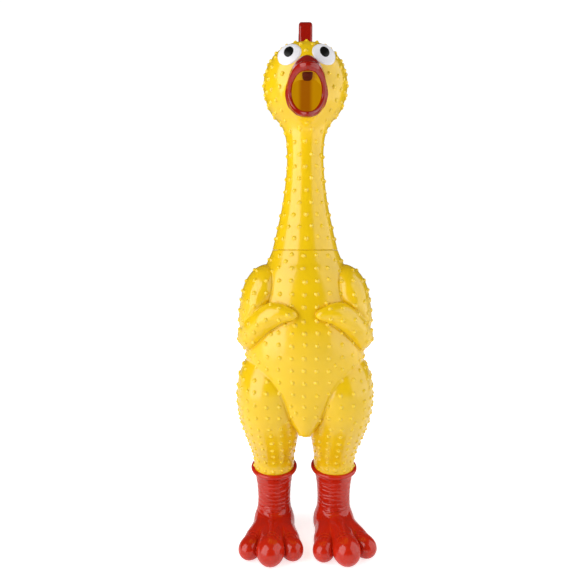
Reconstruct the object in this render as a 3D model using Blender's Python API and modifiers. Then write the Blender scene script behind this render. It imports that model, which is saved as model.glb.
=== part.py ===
"""Squeeze-to-scream rubber chicken: hollow vinyl body, plug-in head and boots, a reed squeaker in the neck.

Metres, +Z up, the face towards -Y, the chicken's own left at +X, the floor at Z = 0.
Lengths below are in millimetres and are turned into metres where points are made.
Places are given as (side, front, height), measured from the neck's upright centreline.
"""

import math

import bmesh
import bpy
from mathutils import Matrix, Vector

MM = 0.001
CLEARANCE = 0.35  # between neighbouring pieces
WALL = 2.4  # thickness of the vinyl skin

# The neck's centreline stands this far behind the middle of the whole depth, and this far to the left of the
# middle of the whole width (so to the right, where it is below zero).
AXIS_BACK = 13.4
AXIS_SIDE = -1.63

# Head and neck
COMB_TOP = 686.0
HEAD_CENTRE = 606.0
HEAD_RADIUS = 53.5
HEAD_DEPTH_RATIO = 1.07
CHEEK_HEIGHT = 577.0
SEAM_HEIGHT = 398.0
NECK_OUTLINE = (  # (height, radius) from the seam up to the cheeks
    (SEAM_HEIGHT + CLEARANCE, 42.6),
    (424.0, 36.4),
    (462.0, 28.6),
    (500.0, 24.2),
    (527.0, 23.7),
    (546.0, 26.2),
    (559.0, 31.8),
    (569.5, 39.5),
    (CHEEK_HEIGHT, 45.0),
)

# Neck plug
PLUG_RADIUS = 35.0
PLUG_BORE = 32.0
PLUG_BOTTOM = 372.0
BEAD_RADIUS = 37.4
BEAD_HEIGHT = 379.5
COLLAR_THICKNESS = 12.3

# Comb: the middle of each lobe along the crown, its half length and its top
COMB_WIDTH = 17.0
COMB_EDGE = 2.5  # rounding of its edges
COMB_LOBES = ((-2.5, 11.0, COMB_TOP), (-25.0, 13.0, 683.5), (-44.0, 9.0, 671.0))
COMB_SLOT_WIDTH = 11.0
COMB_SLOT_FRONT = -4.0
COMB_SLOT_BACK = -46.0
COMB_BASE = 624.0  # buried in the head, before the comb is cut to its crown
COMB_ROOT_BOTTOM = 631.0

# Mouth: half of the lip's centreline, (side, front, height), from the upper tip round to the lower one
LIP_HALF = (
    (0.0, 92.0, 597.0),
    (9.0, 87.0, 597.5),
    (16.0, 73.0, 595.0),
    (20.0, 60.0, 590.0),
    (21.3, 51.0, 582.0),
    (19.0, 50.0, 572.0),
    (13.8, 56.0, 562.5),
    (7.5, 65.0, 555.5),
    (0.0, 69.5, 553.0),
)
LIP_RADIUS = 2.9
LIP_TURNS_DEG = (100, 55, 10, -35, -80)  # round the lip, from outside to inside
MOUTH_CENTRE = (0.0, 0.0, 581.0)
MOUTH_INSET = 1.2  # of the hole, inside the lip's centreline
MOUTH_HOLE_FRONTS = (20.0, 120.0)
BEAK_ROOT_FRONT = 36.0
BEAK_ROOT_REACH = 1.5  # outwards from the lip
BEAK_CAP_REACH = 23.0  # upwards from the lip's tip

# Eyes
EYE_SIDE = 20.5
EYE_HEIGHT = 628.0
EYE_RADIUS = 15.0
EYE_BULGE = 3.0
PUPIL_RADII = (5.8, 6.6)
PUPIL_OFFSET = (1.4, 2.6)  # outwards and upwards from the middle of the white
PUPIL_THICKNESS = 0.9
EYE_BAR_LENGTH = 26.0  # of the bars that the discs are cut from
HEAD_DEEPENS = (540.0, 585.0)  # heights between which the round neck becomes the deeper head

# Body below the seam: (height, half width, front, back)
TORSO_SECTIONS = (
    (SEAM_HEIGHT + 8.0, 40.0, 40.0, 40.0),
    (SEAM_HEIGHT, 42.6, 42.6, 42.6),
    (384.0, 48.5, 48.0, 47.5),
    (370.0, 57.0, 55.0, 53.0),
    (352.0, 65.0, 61.0, 59.0),
    (328.0, 71.0, 66.0, 64.0),
    (300.0, 75.5, 69.5, 67.0),
    (270.0, 78.0, 70.0, 68.0),
    (240.0, 80.0, 68.5, 67.5),
    (212.0, 79.0, 65.0, 64.0),
    (188.0, 68.0, 59.5, 56.0),
    (168.0, 42.0, 50.0, 40.0),
    (158.0, 18.0, 36.0, 20.0),
)
# Leg: (height, middle to the side, middle to the front, half width, half depth)
ANKLE_SIDE = 42.0
ANKLE_FRONT = -26.0
LEG_RADIUS = 26.6
LEG_END = 89.0
LEG_END_THICKNESS = 8.0
LEG_SECTIONS = (
    (256.0, 34.0, 0.0, 34.0, 46.0),
    (236.0, 42.5, 1.5, 44.0, 57.0),
    (214.0, 45.5, 2.5, 44.0, 58.5),
    (192.0, 45.5, 1.0, 43.2, 56.5),
    (170.0, 45.0, -4.0, 40.5, 50.5),
    (150.0, 43.8, -10.0, 36.2, 43.5),
    (131.0, 42.8, -17.0, 32.0, 36.5),
    (115.0, 42.2, -23.0, 28.8, 30.5),
    (104.0, ANKLE_SIDE, ANKLE_FRONT, 26.6, 27.0),
    (97.0, ANKLE_SIDE, ANKLE_FRONT, 25.0, 25.0),
    (LEG_END - 8.0, ANKLE_SIDE, ANKLE_FRONT, 24.5, 24.5),
)
# Wing: balls along it, (side, front, height, half width, half depth, half height)
WING_BALLS = (
    (54.0, 8.0, 352.0, 20.0, 30.0, 26.0),
    (62.0, 10.0, 334.0, 23.0, 38.0, 34.0),
    (67.0, 11.0, 308.0, 20.5, 40.0, 34.0),
    (67.0, 20.0, 292.0, 20.5, 38.0, 19.0),
    (54.0, 42.0, 301.0, 20.0, 27.0, 17.0),
    (37.0, 56.0, 310.0, 18.0, 17.5, 14.0),
    (22.0, 64.0, 317.0, 12.0, 9.5, 8.0),
)

# Ankle plug and boot
ANKLE_PLUG_RADIUS = 18.8
ANKLE_PLUG_BORE = 16.0
ANKLE_PLUG_BOTTOM = 66.0
CUFF_TOP = 96.5
CUFF_RADIUS = 32.0
CUFF_TILT_DEG = 7.0
CUFF_TILTS = (70.0, 86.0)  # heights between which the upright shaft becomes the tilted cuff
SHAFT_RADIUS = 22.8
BOOT_TURN_DEG = {"left": 8.0, "right": 2.0}  # toes outwards
BOOT_OUTLINE = (  # (radius, height) down the outside of the shaft from the cuff's crest
    (29.4, CUFF_TOP),
    (31.2, 94.8),
    (CUFF_RADIUS, 91.6),
    (31.0, 88.2),
    (27.6, 85.6),
    (25.3, 80.0),
    (23.6, 66.0),
    (SHAFT_RADIUS, 50.0),
    (23.8, 34.0),
    (25.0, 20.0),
)
# Foot, measured from the ankle's centreline: (side, front, height, half width, half depth, half height)
FOOT_BALLS = (
    (0.0, 78.5, 16.0, 17.2, 17.2, 17.4),
    (0.0, 60.0, 15.5, 16.5, 22.0, 17.0),
    (0.0, 38.0, 14.0, 19.0, 26.0, 18.5),
    (0.0, 14.0, 14.0, 23.0, 24.0, 19.0),
    (28.5, 67.0, 11.8, 13.5, 13.5, 13.2),
    (22.5, 50.0, 12.0, 15.0, 20.0, 14.5),
    (15.0, 30.0, 12.5, 17.0, 24.0, 16.5),
    (0.0, -5.0, 16.0, 24.5, 26.5, 19.0),
)
FOOT_CAVITY_FLOOR = 5.0
FOOT_WALL = 3.2
SHAFT_BORE_BOTTOM = 24.0

# Squeaker, hung in the neck plug's bore
SQUEAKER_FLANGE_THICKNESS = 3.0
SQUEAKER_RIM_HEIGHT = 9.0
SQUEAKER_TUBE_RADIUS = 12.0
SQUEAKER_BORE = 9.5
SQUEAKER_TUBE_TOP = 412.0
CAP_THICKNESS = 2.0
CAP_SKIRT = 8.0
CAP_SLOT_FRONTS = (-5.0, 0.0, 5.0)
CAP_SLOT_WIDTH = 2.4
TROUGH_RADIUS = 6.0
TROUGH_WALL = 1.4
TROUGH_BOTTOM = 380.0
TROUGH_TOP = 409.0
REED_THICKNESS = 0.4
REED_WIDTH = 9.0
REED_BOTTOM = 381.0
CLAMP_HEIGHT = 5.0


def place(side, front, height):
    """A point from its (side, front, height) in millimetres."""
    return Vector((side + AXIS_SIDE, AXIS_BACK - front, height)) * MM


def material(name, colour, roughness, metallic=0.0):
    made = bpy.data.materials.new(name)
    made.use_nodes = True
    shader = made.node_tree.nodes["Principled BSDF"]
    shader.inputs["Base Color"].default_value = (*colour, 1.0)
    shader.inputs["Roughness"].default_value = roughness
    shader.inputs["Metallic"].default_value = metallic
    return made


def object_from(bm, name, collection):
    """The bmesh as an object, its faces turned outwards."""
    bmesh.ops.recalc_face_normals(bm, faces=bm.faces)
    mesh = bpy.data.meshes.new(name)
    bm.to_mesh(mesh)
    bm.free()
    made = bpy.data.objects.new(name, mesh)
    collection.objects.link(made)
    return made


def as_cutter(obj):
    obj.hide_render = True
    obj.display_type = "WIRE"
    return obj


def as_part(obj):
    """Moves an object made as a cutter over to the parts."""
    cutters.objects.unlink(obj)
    parts.objects.link(obj)
    obj.hide_render = False
    obj.display_type = "TEXTURED"
    return obj


def cutter_from(bm, name):
    return as_cutter(object_from(bm, name, cutters))


def smooth_share(value, low, high):
    """0 below low, 1 above high and an S-curve between them."""
    share = min(max((value - low) / (high - low), 0.0), 1.0)
    return share * share * (3.0 - 2.0 * share)


def add_ball(bm, side, front, height, radii, grow=0.0, segments=28):
    scale = [(radius + grow) * MM for radius in radii]
    matrix = Matrix.Translation(place(side, front, height)) @ Matrix.Diagonal((*scale, 1.0))
    bmesh.ops.create_uvsphere(bm, u_segments=segments, v_segments=segments // 2, radius=1.0, matrix=matrix)


def add_box(bm, low, high):
    middle = [(a + b) / 2 for a, b in zip(low, high)]
    size = [(b - a) * MM for a, b in zip(low, high)]
    matrix = Matrix.Translation(place(*middle)) @ Matrix.Diagonal((*size, 1.0))
    bmesh.ops.create_cube(bm, size=1.0, matrix=matrix)


def add_loft(bm, rings):
    """Skins between rings of equally many points and caps both ends."""
    made = [[bm.verts.new(point) for point in ring] for ring in rings]
    for upper, lower in zip(made, made[1:]):
        for i in range(len(upper)):
            j = (i + 1) % len(upper)
            bm.faces.new((upper[i], upper[j], lower[j], lower[i]))
    bm.faces.new(made[0])
    bm.faces.new(reversed(made[-1]))


def oval_ring(height, side, half_width, front, back, middle, grow, points=40):
    """An oval at one height whose front and back halves may differ in depth."""
    ring = []
    for i in range(points):
        angle = math.tau * i / points
        depth = (front if math.sin(angle) > 0 else back) + grow
        across = (half_width + grow) * math.cos(angle)
        ring.append(place(side + across, middle + depth * math.sin(angle), height))
    return ring


def midway(a, b, c, d):
    """Halfway from b to c on a Catmull-Rom curve through a, b, c and d."""
    return (9.0 * (b + c) - a - d) / 16.0


def with_midpoints(knots):
    """The knots and, between each two, the point halfway along a smooth curve through them all."""
    ends = [knots[0], *knots, knots[-1]]
    points = []
    for before, start, end, after in zip(ends, ends[1:], ends[2:], ends[3:]):
        points.append(start)
        points.append(tuple(map(midway, before, start, end, after)))
    points.append(knots[-1])
    return points


def turned(name, profile, collection, steps=36, closed=True):
    """A solid turned round the neck's centreline from (radius, height) points, top to bottom outside."""
    mesh = bpy.data.meshes.new(name)
    bm = bmesh.new()
    verts = [bm.verts.new((radius * MM, 0.0, height * MM)) for radius, height in profile]
    for start, end in zip(verts, verts[1:] + verts[:1] if closed else verts[1:]):
        bm.edges.new((start, end))
    bm.to_mesh(mesh)
    bm.free()
    made = bpy.data.objects.new(name, mesh)
    collection.objects.link(made)
    made.location = place(0.0, 0.0, 0.0)
    screw = made.modifiers.new("turn", "SCREW")
    screw.steps = steps
    screw.render_steps = steps
    screw.use_merge_vertices = True
    screw.merge_threshold = 0.00001
    screw.use_smooth_shade = False
    return made


def baked(obj):
    """Replaces the object's mesh by what its modifiers make of it, in world space."""
    bpy.context.view_layer.update()
    graph = bpy.context.evaluated_depsgraph_get()
    mesh = bpy.data.meshes.new_from_object(obj.evaluated_get(graph))
    mesh.transform(obj.matrix_world)
    obj.modifiers.clear()
    obj.matrix_world = Matrix.Identity(4)
    obj.data = mesh
    return obj


def boolean(obj, other, operation="DIFFERENCE"):
    modifier = obj.modifiers.new(operation.lower() + " " + other.name, "BOOLEAN")
    modifier.operation = operation
    modifier.object = other
    modifier.solver = "EXACT"


def remeshed(obj, voxel, smoothing, keep):
    """Fuses the object's overlapping shapes into one soft skin and thins its triangles out."""
    remesh = obj.modifiers.new("fuse", "REMESH")
    remesh.mode = "VOXEL"
    remesh.voxel_size = voxel * MM
    smooth = obj.modifiers.new("soften", "SMOOTH")
    smooth.factor = 0.5
    smooth.iterations = smoothing
    decimate = obj.modifiers.new("thin out", "DECIMATE")
    decimate.ratio = keep
    return baked(obj)


def box_cutter(name, low, high):
    bm = bmesh.new()
    add_box(bm, low, high)
    return cutter_from(bm, name)


def cylinder_cutter(name, side, front, radius, low, high, segments=28):
    bm = bmesh.new()
    matrix = Matrix.Translation(place(side, front, (low + high) / 2))
    bmesh.ops.create_cone(
        bm,
        cap_ends=True,
        segments=segments,
        radius1=radius * MM,
        radius2=radius * MM,
        depth=(high - low) * MM,
        matrix=matrix,
    )
    return cutter_from(bm, name)


# ---------------------------------------------------------------- body


def torso_skin(name, grow, bottom, top, keep):
    """The outer skin of body, wings and legs, or with grow below zero the hollow inside it."""
    bm = bmesh.new()
    sections = [section for section in TORSO_SECTIONS if section[0] - 1.0 <= top]
    legs = [section for section in LEG_SECTIONS if section[0] >= bottom]
    rings = []
    for height, width, front, back in sections:
        rings.append(oval_ring(height, 0.0, width, front, back, 0.0, grow))
    add_loft(bm, rings)
    for sign in (-1, 1):
        rings = []
        for height, side, front, width, depth in legs:
            rings.append(oval_ring(height, sign * side, width, depth, depth, front, grow, 32))
        add_loft(bm, rings)
        for side, front, height, *radii in WING_BALLS:
            add_ball(bm, sign * side, front, height, radii, grow)
    return remeshed(cutter_from(bm, name), 4.0, 3, keep)


def make_torso():
    torso = as_part(torso_skin("torso_shell", 0.4, 0.0, 500.0, 0.075))
    collar_bottom = SEAM_HEIGHT - COLLAR_THICKNESS
    hollow_bottom = LEG_END + LEG_END_THICKNESS
    hollow = torso_skin("torso_hollow", -WALL, hollow_bottom, collar_bottom, 0.055)
    boolean(torso, box_cutter("above_seam", (-90, -90, SEAM_HEIGHT), (90, 90, SEAM_HEIGHT + 40)))
    boolean(torso, box_cutter("below_legs", (-120, -90, 40), (120, 90, LEG_END)))
    ankles = ((ANKLE_SIDE, "left"), (-ANKLE_SIDE, "right"))
    for side, label in ankles:
        end = ("leg_end_" + label, side, ANKLE_FRONT, LEG_RADIUS, LEG_END, LEG_END + 14, 32)
        plug = ("ankle_plug_" + label, side, ANKLE_FRONT, ANKLE_PLUG_RADIUS, ANKLE_PLUG_BOTTOM, LEG_END + 3)
        boolean(torso, cylinder_cutter(*end), "UNION")
        boolean(torso, cylinder_cutter(*plug), "UNION")
    boolean(torso, hollow)
    hole_radius = PLUG_RADIUS + CLEARANCE
    boolean(torso, cylinder_cutter("neck_hole", 0, 0, hole_radius, collar_bottom - 8, SEAM_HEIGHT + 5, 48))
    for side, label in ankles:
        heights = (ANKLE_PLUG_BOTTOM - 5, hollow_bottom + 8)
        bore = cylinder_cutter("ankle_bore_" + label, side, ANKLE_FRONT, ANKLE_PLUG_BORE, *heights)
        boolean(torso, bore)


# ---------------------------------------------------------------- head and neck


def head_outline(grow):
    """(radius, height) down the outside, from the crown to the seam."""
    radius = HEAD_RADIUS + grow
    low = math.asin((CHEEK_HEIGHT - HEAD_CENTRE) / HEAD_RADIUS)
    count = 10
    points = []
    for i in range(count):
        angle = math.pi / 2 + (low - math.pi / 2) * i / count
        points.append((radius * math.cos(angle), HEAD_CENTRE + radius * math.sin(angle)))
    points[0] = (0.0, HEAD_CENTRE + radius)
    return points + [(r + grow, z) for z, r in reversed(NECK_OUTLINE)]


def deepen_head(obj):
    """The head is deeper from front to back than it is wide; the neck stays round."""
    for vertex in obj.data.vertices:
        ratio = 1.0 + (HEAD_DEPTH_RATIO - 1.0) * smooth_share(vertex.co.z / MM, *HEAD_DEEPENS)
        vertex.co.y = AXIS_BACK * MM + (vertex.co.y - AXIS_BACK * MM) * ratio
    return obj


def head_solid(name, grow):
    """The solid head and neck, used to cut what sits on it to shape."""
    profile = [*head_outline(grow), (0.0, SEAM_HEIGHT + CLEARANCE)]
    return deepen_head(baked(as_cutter(turned(name, profile, cutters, 32, closed=False))))


def make_head():
    inside = [point for point in head_outline(-WALL) if point[1] > SEAM_HEIGHT + 6.0]
    plug = [
        (PLUG_RADIUS, SEAM_HEIGHT + CLEARANCE),
        (PLUG_RADIUS, BEAD_HEIGHT + 4.0),
        (BEAD_RADIUS, BEAD_HEIGHT + 1.2),
        (BEAD_RADIUS, BEAD_HEIGHT - 1.2),
        (PLUG_RADIUS, BEAD_HEIGHT - 4.0),
        (PLUG_RADIUS, PLUG_BOTTOM),
        (PLUG_BORE, PLUG_BOTTOM),
        (PLUG_BORE, SEAM_HEIGHT + 2.0),
        (inside[-1][0], SEAM_HEIGHT + 4.0),
    ]
    profile = [*head_outline(0.0), *plug, *reversed(inside)]
    head = deepen_head(baked(turned("head_neck_shell", profile, parts, 32, closed=False)))
    boolean(head, mouth_cutter())
    slot = box_cutter(
        "comb_slot",
        (-COMB_SLOT_WIDTH / 2 - CLEARANCE, COMB_SLOT_BACK - CLEARANCE, HEAD_CENTRE + 20),
        (COMB_SLOT_WIDTH / 2 + CLEARANCE, COMB_SLOT_FRONT + CLEARANCE, COMB_TOP + 5),
    )
    boolean(head, slot)


def lip_line():
    """The whole centreline of the lip, closed, starting at the upper tip."""
    half = with_midpoints(LIP_HALF)
    return half + [(-side, front, height) for side, front, height in reversed(half[1:-1])]


def mouth_cutter():
    """A cone of the mouth's outline, from inside the head to past the beak."""
    bm = bmesh.new()
    centre = Vector(MOUTH_CENTRE)
    rings = []
    for front in MOUTH_HOLE_FRONTS:
        ring = []
        for side, _, height in lip_line():
            around = Vector((side, 0.0, height - centre.z))
            around *= (around.length - MOUTH_INSET) / around.length
            ring.append(place(around.x, front, centre.z + around.z))
        rings.append(ring)
    add_loft(bm, rings)
    return cutter_from(bm, "mouth_hole")


def make_beak(head_cutter):
    """Lofts round the mouth: from the root on the head out to the lip and back inside."""
    bm = bmesh.new()
    centre = Vector(MOUTH_CENTRE)
    forwards = Vector((0.0, 1.0, 0.0))
    rings = []
    for point in lip_line():
        lip = Vector(point)
        out = Vector((lip.x, 0.0, lip.z - centre.z)).normalized()
        up = max(out.z, 0.0) ** 4
        reach = BEAK_ROOT_REACH + BEAK_CAP_REACH * up
        base = Vector((lip.x, BEAK_ROOT_FRONT, lip.z))
        root = base + out * reach
        ring = [root, lip.lerp(root, 0.45) + out * (2.2 + 1.5 * up)]
        for turn in LIP_TURNS_DEG:
            angle = math.radians(turn)
            ring.append(lip + (out * math.sin(angle) + forwards * math.cos(angle)) * LIP_RADIUS)
        ring.append(base - out * 0.6)
        rings.append([bm.verts.new(place(*corner)) for corner in ring])
    for here, there in zip(rings, rings[1:] + rings[:1]):
        for j in range(len(here)):
            k = (j + 1) % len(here)
            bm.faces.new((here[j], here[k], there[k], there[j]))
    boolean(object_from(bm, "beak", parts), head_cutter)


def make_comb(head_cutter):
    """Three rounded lobes, cut to sit on the crown, with a tongue down through the slot."""
    outline = bpy.data.curves.new("comb", "CURVE")
    outline.dimensions = "2D"
    outline.fill_mode = "BOTH"
    outline.extrude = (COMB_WIDTH / 2 - COMB_EDGE) * MM
    outline.bevel_depth = COMB_EDGE * MM
    outline.bevel_resolution = 1
    edge_points = comb_outline()
    edge = outline.splines.new("POLY")
    edge.points.add(len(edge_points) - 1)
    for control, (front, height) in zip(edge.points, edge_points):
        control.co = (front * MM, height * MM, 0.0, 1.0)
    edge.use_cyclic_u = True
    flat = bpy.data.objects.new("comb_curve", outline)
    parts.objects.link(flat)
    upright = Matrix.Rotation(-math.pi / 2, 4, "Z") @ Matrix.Rotation(math.pi / 2, 4, "X")
    flat.matrix_world = Matrix.Translation(place(0, 0, 0)) @ upright
    bpy.context.view_layer.update()
    graph = bpy.context.evaluated_depsgraph_get()
    mesh = bpy.data.meshes.new_from_object(flat.evaluated_get(graph))
    mesh.transform(flat.matrix_world)
    bpy.data.objects.remove(flat)
    bm = bmesh.new()
    bm.from_mesh(mesh)
    bmesh.ops.remove_doubles(bm, verts=bm.verts, dist=0.00002)
    comb = object_from(bm, "comb", parts)
    boolean(comb, head_cutter)
    tongue = box_cutter(
        "comb_tongue",
        (-COMB_SLOT_WIDTH / 2, COMB_SLOT_BACK, COMB_ROOT_BOTTOM),
        (COMB_SLOT_WIDTH / 2, COMB_SLOT_FRONT, HEAD_CENTRE + HEAD_RADIUS + 6.0),
    )
    boolean(comb, tongue, "UNION")


def comb_outline():
    """(front, height) round the comb's side view, lobes along the top and a buried base."""
    first, last = COMB_LOBES[0], COMB_LOBES[-1]
    points = [(first[0] + first[1] - COMB_EDGE - 1.0, COMB_BASE)]
    for index, (middle, full, top) in enumerate(COMB_LOBES):
        half = full - COMB_EDGE
        start = 0 if index == 0 else 50
        end = 180 if index == len(COMB_LOBES) - 1 else 130
        for step in range(7):
            angle = math.radians(start + (end - start) * step / 6)
            points.append((middle + half * math.cos(angle), top - full + half * math.sin(angle)))
    points.append((last[0] - last[1] + COMB_EDGE, COMB_BASE))
    return points


def eye_frame(sign):
    """The eye's place on the head and its outward direction."""
    dz = EYE_HEIGHT - HEAD_CENTRE
    depth = HEAD_RADIUS * HEAD_DEPTH_RATIO
    front = depth * math.sqrt(1.0 - (EYE_SIDE / HEAD_RADIUS) ** 2 - (dz / HEAD_RADIUS) ** 2)
    centre = place(sign * EYE_SIDE, front, EYE_HEIGHT)
    normal = Vector((sign * EYE_SIDE / HEAD_RADIUS**2, -front / depth**2, dz / HEAD_RADIUS**2)).normalized()
    right = Vector((0, 0, 1)).cross(normal).normalized()
    frame = Matrix((right, normal.cross(right), normal)).transposed().to_4x4()
    return Matrix.Translation(centre) @ frame


def make_eye(sign, label, head_skin, white_face, pupil_back, pupil_face):
    """A white disc on the head and a black oval on it, both of even thickness on the head's curve."""
    frame = eye_frame(sign)
    conformed_disc("eye_white_" + label, frame, (EYE_RADIUS, EYE_RADIUS), head_skin, white_face, 28)
    out, up = PUPIL_OFFSET
    shifted = frame @ Matrix.Translation(Vector((sign * out, up, 0.0)) * MM)
    conformed_disc("pupil_" + label, shifted, PUPIL_RADII, pupil_back, pupil_face, 20)


def conformed_disc(name, frame, radii, inner, outer, segments):
    """What a short round bar keeps between two of the head's offset surfaces."""
    bm = bmesh.new()
    matrix = frame @ Matrix.Diagonal((radii[0] * MM, radii[1] * MM, 1.0, 1.0))
    depth = EYE_BAR_LENGTH * MM
    bmesh.ops.create_cone(
        bm, cap_ends=True, segments=segments, radius1=1.0, radius2=1.0, depth=depth, matrix=matrix
    )
    disc = object_from(bm, name, parts)
    boolean(disc, outer, "INTERSECT")
    boolean(disc, inner)


# ---------------------------------------------------------------- boots


def boot_solid(name, grow, shaft_radius, floor, keep):
    """The foot and the lower shaft in one soft skin, cut off flat at the floor."""
    bm = bmesh.new()
    for side, front, height, *radii in FOOT_BALLS:
        for sign in (-1, 1) if side else (1,):
            add_ball(bm, sign * side, front, height, radii, grow, 24)
    radius = shaft_radius * MM
    matrix = Matrix.Translation(place(0, 0, 40.0))
    bmesh.ops.create_cone(
        bm, cap_ends=True, segments=36, radius1=radius, radius2=radius, depth=44.0 * MM, matrix=matrix
    )
    foot = remeshed(cutter_from(bm, name), 3.0, 3, keep)
    boolean(foot, box_cutter(name + "_floor", (-80, -80, -40), (80, 120, floor)))
    return baked(foot)


def tilt_cuff(obj):
    """The cuff leans forwards and down; the shaft below it stays upright."""
    slope = math.tan(math.radians(CUFF_TILT_DEG))
    for vertex in obj.data.vertices:
        share = min(max((vertex.co.z / MM - CUFF_TILTS[0]) / (CUFF_TILTS[1] - CUFF_TILTS[0]), 0.0), 1.0)
        vertex.co.z -= (AXIS_BACK * MM - vertex.co.y) * slope * share
    return obj


def make_boot(sign, label):
    """Made on the neck's centreline, then carried out to its ankle and turned."""
    bore = ANKLE_PLUG_RADIUS + CLEARANCE
    seat = LEG_END - 1.5
    boot = as_part(boot_solid("boot_" + label, 0.0, SHAFT_RADIUS, 0.0, 0.07))
    shaft_profile = [(0.0, CUFF_TOP - 2.0), (27.5, CUFF_TOP - 2.0), *BOOT_OUTLINE, (0.0, 20.0)]
    shaft = turned("boot_shaft_" + label, shaft_profile, cutters, 28, closed=False)
    boolean(boot, as_cutter(tilt_cuff(baked(shaft))), "UNION")
    boolean(boot, boot_solid("boot_hollow_" + label, -FOOT_WALL, bore, FOOT_CAVITY_FLOOR, 0.06))
    boolean(boot, cylinder_cutter("cuff_bore_" + label, 0, 0, LEG_RADIUS + 0.8, seat, CUFF_TOP + 20, 32))
    boolean(boot, cylinder_cutter("shaft_bore_" + label, 0, 0, bore, SHAFT_BORE_BOTTOM, CUFF_TOP + 20, 28))
    baked(boot)
    turn = Matrix.Rotation(math.radians(sign * BOOT_TURN_DEG[label]), 4, "Z")
    boot.data.transform(turn @ Matrix.Translation(-place(0, 0, 0)))
    boot.location = place(sign * ANKLE_SIDE, ANKLE_FRONT, 0.0)


# ---------------------------------------------------------------- squeaker


def make_squeaker():
    bottom = PLUG_BOTTOM
    rim = PLUG_BORE - CLEARANCE
    housing_profile = [
        (SQUEAKER_TUBE_RADIUS, SQUEAKER_TUBE_TOP),
        (SQUEAKER_TUBE_RADIUS, bottom + SQUEAKER_FLANGE_THICKNESS),
        (rim - 1.6, bottom + SQUEAKER_FLANGE_THICKNESS),
        (rim - 1.6, bottom + SQUEAKER_RIM_HEIGHT),
        (rim, bottom + SQUEAKER_RIM_HEIGHT),
        (rim, bottom),
        (SQUEAKER_BORE, bottom),
        (SQUEAKER_BORE, SQUEAKER_TUBE_TOP),
    ]
    turned("squeaker_housing", housing_profile, parts, 36)
    cap_inner = SQUEAKER_TUBE_RADIUS + CLEARANCE
    cap_profile = [
        (0.0, SQUEAKER_TUBE_TOP + CLEARANCE + CAP_THICKNESS),
        (cap_inner + 1.4, SQUEAKER_TUBE_TOP + CLEARANCE + CAP_THICKNESS),
        (cap_inner + 1.4, SQUEAKER_TUBE_TOP - CAP_SKIRT),
        (cap_inner, SQUEAKER_TUBE_TOP - CAP_SKIRT),
        (cap_inner, SQUEAKER_TUBE_TOP + CLEARANCE),
        (0.0, SQUEAKER_TUBE_TOP + CLEARANCE),
    ]
    cap = turned("squeaker_cap", cap_profile, parts, 36, closed=False)
    for index, front in enumerate(CAP_SLOT_FRONTS):
        half = math.sqrt((SQUEAKER_BORE - 1.5) ** 2 - front**2)
        low = (-half, front - CAP_SLOT_WIDTH / 2, SQUEAKER_TUBE_TOP - 3)
        high = (half, front + CAP_SLOT_WIDTH / 2, SQUEAKER_TUBE_TOP + 9)
        boolean(cap, box_cutter(f"cap_slot_{index}", low, high))


def make_reed():
    """A half-round trough, the strip that beats on its face, and the wedge that holds the strip's root."""
    outer = TROUGH_RADIUS
    bm = bmesh.new()
    arc = [math.pi * i / 12 for i in range(13)]
    outside = [(outer * math.cos(a), -outer * math.sin(a)) for a in arc]
    inner = outer - TROUGH_WALL
    inside = [(inner * math.cos(a), -inner * math.sin(a)) for a in reversed(arc)]
    outline = outside + inside
    add_loft(bm, [[place(x, y, height) for x, y in outline] for height in (TROUGH_TOP, TROUGH_BOTTOM)])
    trough = object_from(bm, "reed_trough", parts)
    reach = inner + 0.5
    end = box_cutter("trough_end", (-reach, -reach, TROUGH_TOP - 3.0), (reach, 0.0, TROUGH_TOP - 0.2))
    boolean(trough, end, "UNION")
    bm = bmesh.new()
    low = (-REED_WIDTH / 2, CLEARANCE, REED_BOTTOM)
    high = (REED_WIDTH / 2, CLEARANCE + REED_THICKNESS, TROUGH_TOP)
    add_box(bm, low, high)
    object_from(bm, "reed_tongue", parts)
    bm = bmesh.new()
    gap = 2 * CLEARANCE + REED_THICKNESS
    reach = SQUEAKER_BORE - CLEARANCE
    start = math.asin(gap / reach)
    arc = [start + (math.pi - 2 * start) * i / 12 for i in range(13)]
    outline = [(reach * math.cos(a), reach * math.sin(a)) for a in arc]
    heights = (TROUGH_TOP, TROUGH_TOP - CLAMP_HEIGHT)
    add_loft(bm, [[place(x, y, height) for x, y in outline] for height in heights])
    object_from(bm, "reed_clamp", parts)


# ---------------------------------------------------------------- assembly

for leftover in list(bpy.data.objects):
    bpy.data.objects.remove(leftover)
parts = bpy.data.collections.new("rubber_chicken")
cutters = bpy.data.collections.new("cutters")
bpy.context.scene.collection.children.link(parts)
bpy.context.scene.collection.children.link(cutters)

head_cutter = head_solid("head_outside", CLEARANCE)
pupil_base = EYE_BULGE + 2 * CLEARANCE
eye_layers = (
    head_cutter,
    head_solid("eye_face", CLEARANCE + EYE_BULGE),
    head_solid("pupil_back", pupil_base),
    head_solid("pupil_face", pupil_base + PUPIL_THICKNESS),
)
make_torso()
make_head()
make_beak(head_cutter)
make_comb(head_cutter)
for sign, label in ((1, "left"), (-1, "right")):
    make_eye(sign, label, *eye_layers)
    make_boot(sign, label)
make_squeaker()
make_reed()

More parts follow.
